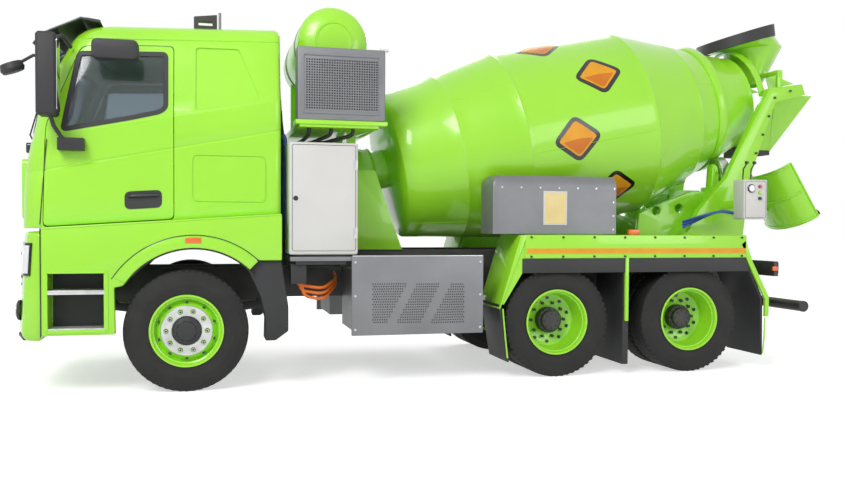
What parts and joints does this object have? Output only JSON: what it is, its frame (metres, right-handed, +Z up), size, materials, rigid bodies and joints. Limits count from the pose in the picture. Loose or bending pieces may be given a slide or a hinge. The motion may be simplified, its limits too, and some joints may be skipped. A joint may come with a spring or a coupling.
{
  "type": "concrete mixer truck",
  "caption": "Concrete mixer truck with a short cab, a tilted revolving drum, a rear loading hopper and a swivelling discharge chute, on a steered axle and a twin-wheel bogie.",
  "frame": {"origin": "centre of the bounding box on the ground, under the truck", "axes": "the truck faces -X, its left side is at -Y, and +Z is up"},
  "size_m": [8.4, 2.86, 3.7312],
  "materials": {
    "lime_paint": "gloss",
    "tyre": "matt",
    "glass": "clear",
    "smoke": "smoked",
    "dark_steel": "satin",
    "black_plastic": "grained",
    "seat_cloth": "woven",
    "grey_metal": "satin",
    "steel": "worn",
    "pale_paint": "satin"
  },
  "bodies": {
    "chassis": {"axle_2": "dark_steel", "axle_3": "dark_steel", "battery_box_left": "grey_metal", "battery_box_right": "grey_metal", "bogie_spring_left": "dark_steel", "bogie_spring_right": "dark_steel", "bumper": "lime_paint", "cab_shell": "lime_paint", "cabinet_left": "pale_paint", "cabinet_right": "pale_paint", "chassis_frame": "dark_steel", "control_box": "pale_paint", "cooler_box": "grey_metal", "dashboard": "black_plastic", "discharge_funnel": "lime_paint", "fender_rail_left": "lime_paint", "fender_rail_right": "lime_paint", "front_axle": "dark_steel", "front_mirror": "black_plastic", "front_mudguard_left": "black_plastic", "front_mudguard_right": "black_plastic", "front_stand": "lime_paint", "hopper": "lime_paint", "lower_panel_left": "lime_paint", "lower_panel_right": "lime_paint", "mudguard_left": "black_plastic", "mudguard_right": "black_plastic", "rear_stand": "lime_paint", "rear_underrun": "dark_steel", "seats": "seat_cloth", "steering_wheel": "black_plastic", "sun_visor": "smoke", "water_tank": "lime_paint", "windshield": "glass"},
    "knuckle_left": {"knuckle_left": "dark_steel"},
    "knuckle_right": {"knuckle_right": "dark_steel"},
    "tie_rod": {"tie_rod": "dark_steel"},
    "wheel_front_left": {"wheel_front_left": "tyre"},
    "wheel_front_right": {"wheel_front_right": "tyre"},
    "wheel_2_left": {"wheel_2_left": "tyre"},
    "wheel_2_right": {"wheel_2_right": "tyre"},
    "wheel_3_left": {"wheel_3_left": "tyre"},
    "wheel_3_right": {"wheel_3_right": "tyre"},
    "door_left": {"door_left": "lime_paint", "door_glass_left": "glass", "mirror_left": "black_plastic"},
    "door_right": {"door_right": "lime_paint", "door_glass_right": "glass", "mirror_right": "black_plastic"},
    "drum": {"drum": "lime_paint"},
    "roller_left": {"roller_left": "steel"},
    "roller_right": {"roller_right": "steel"},
    "chute": {"chute": "lime_paint"}
  },
  "joints": [
    {"name": "steer_left", "type": "hinge", "parent": "chassis", "child": "knuckle_left", "pos_m": [-2.7, -0.86, 0.52], "axis": [0, 0, 1], "range_deg": [-38, 38]},
    {"name": "steer_right", "type": "hinge", "parent": "chassis", "child": "knuckle_right", "pos_m": [-2.7, 0.86, 0.52], "axis": [0, 0, 1], "range_deg": [-38, 38]},
    {"name": "tie_rod_hinge", "type": "hinge", "parent": "knuckle_left", "child": "tie_rod", "pos_m": [-2.5, -0.8, 0.4], "axis": [0, 0, 1], "range_deg": [-38, 38]},
    {"name": "spin_front_left", "type": "hinge", "parent": "knuckle_left", "child": "wheel_front_left", "pos_m": [-2.7, -1.07, 0.52], "axis": [0, 1, 0], "continuous": true},
    {"name": "spin_2_left", "type": "hinge", "parent": "chassis", "child": "wheel_2_left", "pos_m": [0.686, -0.91, 0.52], "axis": [0, 1, 0], "continuous": true},
    {"name": "spin_3_left", "type": "hinge", "parent": "chassis", "child": "wheel_3_left", "pos_m": [2.087, -0.91, 0.52], "axis": [0, 1, 0], "continuous": true},
    {"name": "door_hinge_left", "type": "hinge", "parent": "chassis", "child": "door_left", "pos_m": [-3.84, -1.186, 2], "axis": [0, 0, -1], "range_deg": [0, 70]},
    {"name": "roller_spin_left", "type": "hinge", "parent": "chassis", "child": "roller_left", "pos_m": [2.9024, -0.44015, 2.05805], "axis": [0.9789, 0, 0.2045], "continuous": true},
    {"name": "spin_front_right", "type": "hinge", "parent": "knuckle_right", "child": "wheel_front_right", "pos_m": [-2.7, 1.07, 0.52], "axis": [0, 1, 0], "continuous": true},
    {"name": "spin_2_right", "type": "hinge", "parent": "chassis", "child": "wheel_2_right", "pos_m": [0.686, 0.91, 0.52], "axis": [0, 1, 0], "continuous": true},
    {"name": "spin_3_right", "type": "hinge", "parent": "chassis", "child": "wheel_3_right", "pos_m": [2.087, 0.91, 0.52], "axis": [0, 1, 0], "continuous": true},
    {"name": "door_hinge_right", "type": "hinge", "parent": "chassis", "child": "door_right", "pos_m": [-3.84, 1.186, 2], "axis": [0, 0, 1], "range_deg": [0, 70]},
    {"name": "roller_spin_right", "type": "hinge", "parent": "chassis", "child": "roller_right", "pos_m": [2.9024, 0.44015, 2.05805], "axis": [0.9789, 0, 0.2045], "continuous": true},
    {"name": "drum_spin", "type": "hinge", "parent": "chassis", "child": "drum", "pos_m": [1.2, 0, 2.422], "axis": [0.9789, 0, 0.2045], "continuous": true},
    {"name": "chute_swivel", "type": "hinge", "parent": "chassis", "child": "chute", "pos_m": [3.32, 0, 1.66], "axis": [0, 0, 1], "range_deg": [-55, 55]}
  ],
  "couplings": [
    {"joint": "steer_right", "follows": "steer_left", "ratio": 1},
    {"joint": "tie_rod_hinge", "follows": "steer_left", "ratio": -1},
    {"joint": "roller_spin_left", "follows": "drum_spin", "ratio": -5.3846},
    {"joint": "roller_spin_right", "follows": "drum_spin", "ratio": -5.3846}
  ]
}
